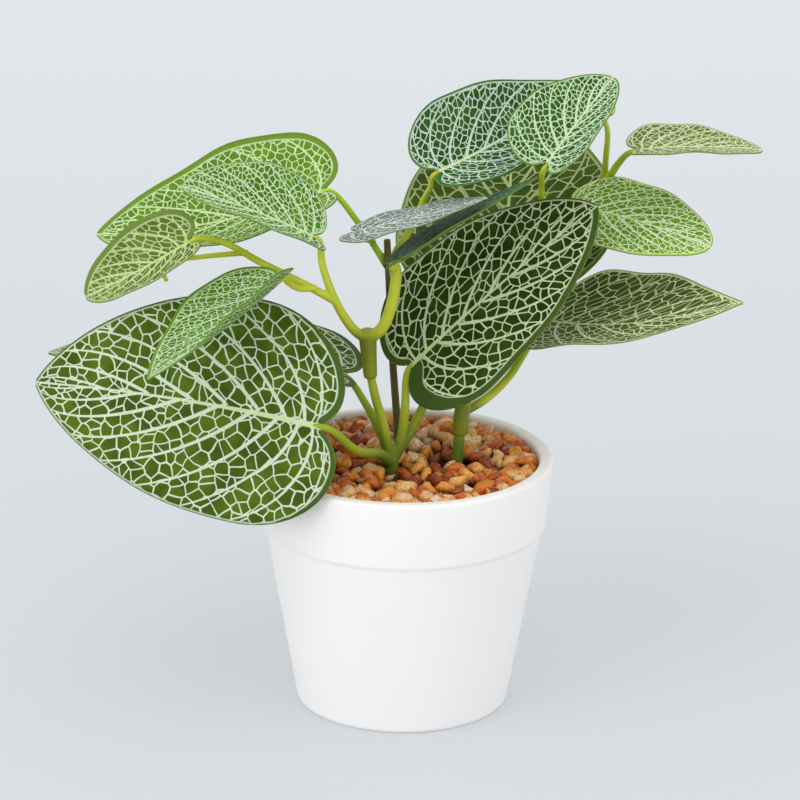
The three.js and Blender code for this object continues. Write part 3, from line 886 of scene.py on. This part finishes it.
# %% A path through its points
def path_through(points, steps):
    """A smooth path through the points, with knots spaced by the root of their distances."""
    p = np.array(points, float)
    p = np.vstack([2 * p[0] - p[1], p, 2 * p[-1] - p[-2]])
    made = []
    for a, b, c, d in zip(p, p[1:], p[2:], p[3:]):
        knots = np.cumsum([0] + [np.linalg.norm(v) ** 0.5 for v in (b - a, c - b, d - c)])
        for t in np.linspace(knots[1], knots[2], steps, endpoint=False):
            first = blend(a, b, knots[0], knots[1], t), blend(b, c, knots[1], knots[2], t)
            last = blend(c, d, knots[2], knots[3], t)
            left = blend(first[0], first[1], knots[0], knots[2], t)
            right = blend(first[1], last, knots[1], knots[3], t)
            made.append(blend(left, right, knots[1], knots[2], t))
    return np.array(made + [p[-2]])


def blend(a, b, start, end, t):
    """What lies between a and b at t, where a stands at start and b at end."""
    return a + (b - a) * ((t - start) / (end - start))


print(len(path_through([(0, 0, 0), (1, 0, 0), (2, 1, 0)], 6)), "points on a test path")

# %% A tube along a path
def sweep_tube(path, radii, sides=14):
    """Points and faces of a closed tube with rounded ends, in millimetres."""
    path, radii = round_ends(path, radii)
    ahead = np.gradient(path, axis=0)
    ahead /= np.linalg.norm(ahead, axis=1)[:, None]
    sideways = np.cross(ahead[0], (0.3, 0.9, 0.1))
    points, faces = [], []
    for i, (centre, direction) in enumerate(zip(path, ahead)):
        sideways = sideways - direction * sideways.dot(direction)
        sideways /= np.linalg.norm(sideways)
        third = np.cross(direction, sideways)
        for k in range(sides):
            a = math.tau * k / sides
            points.append(centre + radii[i] * (sideways * math.cos(a) + third * math.sin(a)))
    for i in range(len(path) - 1):
        for k in range(sides):
            n = (k + 1) % sides
            faces.append((i * sides + k, i * sides + n, (i + 1) * sides + n, (i + 1) * sides + k))
    faces += [tuple(range(sides))[::-1], tuple(range(len(points) - sides, len(points)))]
    return points, faces


def round_ends(path, radii):
    """Adds two narrower rings at each end, so that the tube ends in a soft cap."""
    start, end = path[0] - path[1], path[-1] - path[-2]
    start, end = start / np.linalg.norm(start), end / np.linalg.norm(end)
    a, b = radii[0], radii[-1]
    front = [path[0] + start * a * 0.35, path[0] + start * a * 0.25]
    back = [path[-1] + end * b * 0.25, path[-1] + end * b * 0.35]
    widths = np.concatenate([[a * 0.5, a * 0.85], radii, [b * 0.85, b * 0.5]])
    return np.vstack([front, path, back]), widths


test_path = np.array([(0, 0, 0), (0, 0, 1), (0, 0, 2.0)])
print(len(sweep_tube(test_path, [1, 1, 1])[0]), "points on a test tube")

# %% [markdown]
# ### The stems' routes
# A tube is its points and its radius at each end. One that carries a leaf runs on to just
# behind and under that blade's notch, and then a little way along the rib, where it fades.
# The roots end in the plug, a little higher than the measured ones, where nothing shows them.

# %% The stems
# Where several tubes meet, and how far down the roots go, in millimetres.
CROWN, LEFT_FORK = (-4, 0, 75), (-21, -14, 131)
RIGHT_FORK, TOP_FORK = (47, 31, 141), (60.5, 48, 149)
ROOT_END = 59.2
# Each stem: its colours, and its tubes. Each tube: its leaf, its points, and its radii.
STEMS = {
    "spray_centre_lower": ("stem_green", [
        (None, [(-4, 0, ROOT_END), (-4, 0, 68), (-4, 0, 77)], (2.6, 2.2)),
        (None, [CROWN, (-6, -1, 86), (-9, -2, 97), (-11, -3, 107)], (1.6, 1.3)),
        ("leaf_front_left", [CROWN, (-7, -6, 80), (-14, -20, 86)], (1.8, 1)),
        ("leaf_low_left", [CROWN, (-7, 3, 83), (-12, 9, 91)], (1.6, 0.9)),
        ("leaf_centre", [CROWN, (-1, 1, 83), (0, 1, 93)], (1.8, 1)),
        ("leaf_back", [CROWN, (2, 6, 84), (9, 13, 96), (19, 20, 110)], (1.6, 1)),
    ]),
    "spray_centre_upper": ("stem_pale", [
        (None, [(-10.5, -3, 104), (-11, -3, 110), (-11.5, -4, 118)], (2.1, 2.8)),
        ("leaf_left_upper",
         [(-12, -4, 116), (-16, -9, 121), LEFT_FORK, (-25, -15, 143)], (1.6, 1)),
        ("leaf_left_end",
         [LEFT_FORK, (-30, -17, 137), (-43, -15, 143), (-54, -18, 150)], (1.3, 0.9)),
        ("leaf_left_drooping",
         [(-27, -17, 136), (-31.5, -21, 137), (-35, -25.5, 140.5)], (1.1, 0.9)),
        (None,
         [(-47, -15, 146), (-60, -13, 144), (-69, -12, 142), (-72, -12, 139), (-71, -12, 136)],
         (0.9, 0.7)),
        (None, [(-11, -4, 116), (-7, -5, 120), (-4, -6, 129), (-3, -7, 137)], (1.9, 1.7)),
        ("leaf_top_middle",
         [(-3, -7, 134), (-4, 6, 138), (1, 18, 144), (5, 18, 153), (7, 6, 161)], (1.4, 0.8)),
        ("leaf_centre_right_flat", [(-3, -7, 135), (-3, -9, 140)], (1.6, 1)),
    ]),
    "stem_back": ("stem_brown", [
        (None, [(-2, 10, ROOT_END), (-2, 11, 78), (-4, 22, 102), (-6, 25, 138)], (1.3, 1.1)),
        ("leaf_left_wide", [(-6, 24, 130), (-10, 23, 137), (-15, 21, 145)], (1.1, 0.9)),
        ("leaf_centre_left_flat", [(-10, 23, 138), (-14, 11, 143)], (0.9, 0.8)),
    ]),
    "spray_right_lower": ("stem_green", [
        (None, [(16, 4, ROOT_END), (16, 4, 76), (17, 4, 87)], (1.9, 1.7)),
    ]),
    "spray_right_upper": ("stem_pale", [
        (None, [(16.8, 4, 84), (17.2, 4, 90), (18, 5, 95)], (2.6, 2.3)),
        ("leaf_right_lower", [(17, 4, 90), (25, 13, 92), (32, 20, 97), (38, 29, 104)], (1.5, 1)),
        (None,
         [(17.5, 5, 93), (25, 11, 105), (36, 17, 120), (45, 20, 134), RIGHT_FORK, TOP_FORK],
         (1.6, 1.4)),
        ("leaf_right_upper", [TOP_FORK, (64, 38, 159)], (1.3, 0.9)),
        ("leaf_top_back", [TOP_FORK, (60.5, 44, 158), (60.5, 38, 170)], (1.1, 0.8)),
        ("leaf_top",
         [TOP_FORK, (50, 38, 146), (44, 29, 148), (41, 22, 151.5), (40, 8, 162)], (1.3, 0.8)),
        ("leaf_right_middle", [RIGHT_FORK, (47, 31, 144)], (1.2, 0.9)),
    ]),
}
print(sum(len(tubes) for _, tubes in STEMS.values()), "tubes in", len(STEMS), "stems")

# %% One tube of a stem
PATH_STEPS = 6
BEHIND_NOTCH, UNDER_FACE, ALONG_RIB, FADED = 0.9, 1.0, 0.05, 0.55


def tube_form(leaf, points, ends):
    """Points and faces of one tube, led on under its leaf's rib where it carries one."""
    points = [np.array(p, float) for p in points]
    if leaf:
        blade = blades[leaf]
        points.append(blade.base - BEHIND_NOTCH * blade.along - UNDER_FACE * blade.up)
        points.append(blade.at(np.array([ALONG_RIB]), np.array([0.0]), np.array([-UNDER_FACE]))[0])
    path = path_through(points, PATH_STEPS)
    travelled = np.concatenate([[0], np.cumsum(np.linalg.norm(np.diff(path, axis=0), axis=1))])
    radii = np.interp(travelled, [0, travelled[-1]], ends)
    if leaf:
        radii[-PATH_STEPS:] *= np.linspace(1, FADED, PATH_STEPS)
    return sweep_tube(path, radii)


print(len(tube_form(*STEMS["stem_back"][1][0])[0]), "points on the tube of the brown stem")

# %% Melt a stem's tubes together
VOXEL, SMOOTHINGS = 0.3, 6


def build_stem(name, tubes, material):
    """All the tubes of one moulding, melted into one skin with small fillets."""
    points, faces = [], []
    for leaf, route, ends in tubes:
        form, sides = tube_form(leaf, route, ends)
        faces += [[len(points) + i for i in side] for side in sides]
        points += form
    piece = make_piece(name + "_moulding", np.array(points) * MM, faces, material)
    melt = piece.modifiers.new("melt", "REMESH")
    melt.mode, melt.voxel_size, melt.use_smooth_shade = "VOXEL", VOXEL * MM, True
    ease = piece.modifiers.new("ease", "SMOOTH")
    ease.factor, ease.iterations = 0.5, SMOOTHINGS
    settle(piece)
    return piece


def settle(piece):
    """Turns a piece and its modifiers into a plain mesh."""
    seen = piece.evaluated_get(bpy.context.evaluated_depsgraph_get())
    mesh = bpy.data.meshes.new_from_object(seen)
    piece.modifiers.clear()
    piece.data = mesh


print("tubes melt at a voxel of", VOXEL, "mm")

# %% [markdown]
# ### The stems' finish
# The plastic is dyed, and each moulding changes its colour along the way. The lower stems go
# from deep green at the gravel to yellow-green, the upper ones are darker at their sleeves, and
# the brown stem at the back has fresh green branches. So each has two pairs of colours and a
# soft step between them, placed by height, by how far left it is, or by both. Slow noise lets
# the dye drift between the two colours of a pair, and a fine one roughens the skin.

# %% Dyed plastic in three shades
# Each row: the low and the high colour of the first pair, then those of the second.
DYES = {
    "stem_green": (tint(88, 116, 30), tint(114, 138, 40), tint(150, 170, 28), tint(184, 196, 56)),
    "stem_pale": (tint(112, 124, 26), tint(142, 152, 36), tint(168, 182, 28), tint(204, 212, 62)),
    "stem_brown": (tint(78, 66, 24), tint(106, 94, 40), tint(150, 196, 24), tint(190, 222, 60)),
}


def dyed_plastic(slot):
    """The finish of one moulding, from its first pair of colours to its second."""
    finish = Finish("dyed_" + slot)
    where = finish.place()
    drift = finish.noise(where, 45.0, 3.0)
    skin = finish.noise(where, 1200.0, 2.0)
    x, z = finish.part_of(where, "X"), finish.part_of(where, "Z")
    if slot == "stem_brown":
        share = 1 - x.ease(-8.5 * MM, -6.5 * MM)
    elif slot == "stem_green":
        share = z.ease(78 * MM, 90 * MM)
    else:
        share = (z + 0.82 * x.most(-11 * MM)).ease(107 * MM, 113 * MM)
    low, high, second_low, second_high = DYES[slot]
    blotch = drift.ease(0.3, 0.7)
    first, second = finish.mix(blotch, low, high), finish.mix(blotch, second_low, second_high)
    return finish.wear(
        Base_Color=finish.mix(share, first, second),
        Roughness=0.42 + 0.15 * skin,
        Normal=finish.bump(skin, 0.06 * MM, 0.5),
        Specular_IOR_Level=0.3,
    )


dyes = {slot: dyed_plastic(slot) for slot in DYES}
print(len(dyes), "dyed plastics")

# %% All the stems
for name, (slot, tubes) in STEMS.items():
    stand_for(build_stem(name, tubes, dyes[slot]), slot, name)

# %% [markdown]
# ## Floor, light and camera
# The plant stands on a pale floor in even light. Three wide lamps, one above, one in front and
# one low on the left, make the soft highlights, and the sky does the rest. The floor glows a
# little, so the shadow stays faint, and it is slightly lighter at the back. The camera looks down
# by about nineteen degrees through a long lens, so the pot hardly tapers by perspective.

# %% A pale floor
def pale_paper():
    """Dull paper with a faint glow, lighter far off."""
    finish = Finish("pale_paper")
    where = finish.place()
    near = finish.mix(finish.noise(where, 1.2), tint(171, 175, 179), tint(175, 179, 183))
    colour = finish.mix(finish.part_of(where, "Y").ease(0.25, 0.95), near, tint(180, 184, 187))
    return finish.wear(
        Base_Color=colour, Roughness=0.9, Emission_Color=colour, Emission_Strength=0.55
    )


reach = 6.0
floor_points = [(-reach, -reach, 0), (reach, -reach, 0), (reach, reach, 0), (-reach, reach, 0)]
floor = make_piece("floor", floor_points, [(0, 1, 2, 3)], pale_paper(), smooth=False)
floor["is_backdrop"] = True
print("floor", 2 * reach, "m wide")

# %% Sky and soft light
world = bpy.data.worlds.new("studio")
bpy.context.scene.world = world
world.use_nodes = True
sky = world.node_tree.nodes["Background"]
sky.inputs["Color"].default_value = (0.99, 0.993, 1.0, 1.0)
sky.inputs["Strength"].default_value = 1.02


def soft_light(name, place, target, size, power):
    """A round lamp of a size in metres and a power in watts, turned towards its target."""
    light = bpy.data.lights.new(name, "AREA")
    light.shape, light.size, light.energy = "DISK", size, power
    lamp = bpy.data.objects.new(name, light)
    lamp.location = place
    lamp.rotation_euler = (Vector(target) - Vector(place)).to_track_quat("-Z", "Y").to_euler()
    bpy.context.scene.collection.objects.link(lamp)
    lamp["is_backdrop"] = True


soft_light("overhead", (-0.5, -0.6, 1.5), (0, 0, 0.1), 1.2, 3)
soft_light("front", (0.9, -1.6, 0.9), (0, 0, 0.1), 1.0, 1.5)
soft_light("left", (-1.2, -1.1, 0.35), (0, 0, 0.05), 0.8, 3.4)
print("three soft lights and a plain sky")

# %% Camera
LOOKS_DOWN, LEANS, DISTANCE, LENS = 19.06, 0.63, 1.4, 209.2
MIDDLE_OF_VIEW = (-1.55, 0, 95.4)


def aim_camera():
    """A long lens that looks down at the middle of the view and leans a little to one side."""
    drop, tilt = math.radians(LOOKS_DOWN), math.radians(LEANS)
    aim = Vector(MIDDLE_OF_VIEW) * MM
    ahead = Vector((0, math.cos(drop), -math.sin(drop)))
    right, up = Vector((1, 0, 0)), Vector((0, math.sin(drop), math.cos(drop)))
    across = right * math.cos(tilt) + up * math.sin(tilt)
    upward = up * math.cos(tilt) - right * math.sin(tilt)
    lens = bpy.data.cameras.new("camera")
    lens.sensor_width, lens.lens, lens.clip_end = 36, LENS, 100
    camera = bpy.data.objects.new("camera", lens)
    turned = Matrix((across, upward, -ahead)).transposed().to_4x4()
    camera.matrix_world = Matrix.Translation(aim - ahead * DISTANCE) @ turned
    bpy.context.scene.collection.objects.link(camera)
    bpy.context.scene.camera = camera


aim_camera()
bpy.context.scene.view_settings.view_transform = "Standard"
print("camera set", bpy.context.scene.camera.data.lens, "mm lens")

# %% [markdown]
# ## Sizes
# The dressed object's size is printed beside the measured one's.

# %% Sizes
bpy.context.view_layer.update()
size_after = [list(corner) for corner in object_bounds()]
for label, (low, high) in (("measured", size_before), ("dressed", size_after)):
    print(label, [round((b - a) / MM, 1) for a, b in zip(low, high)], "mm")
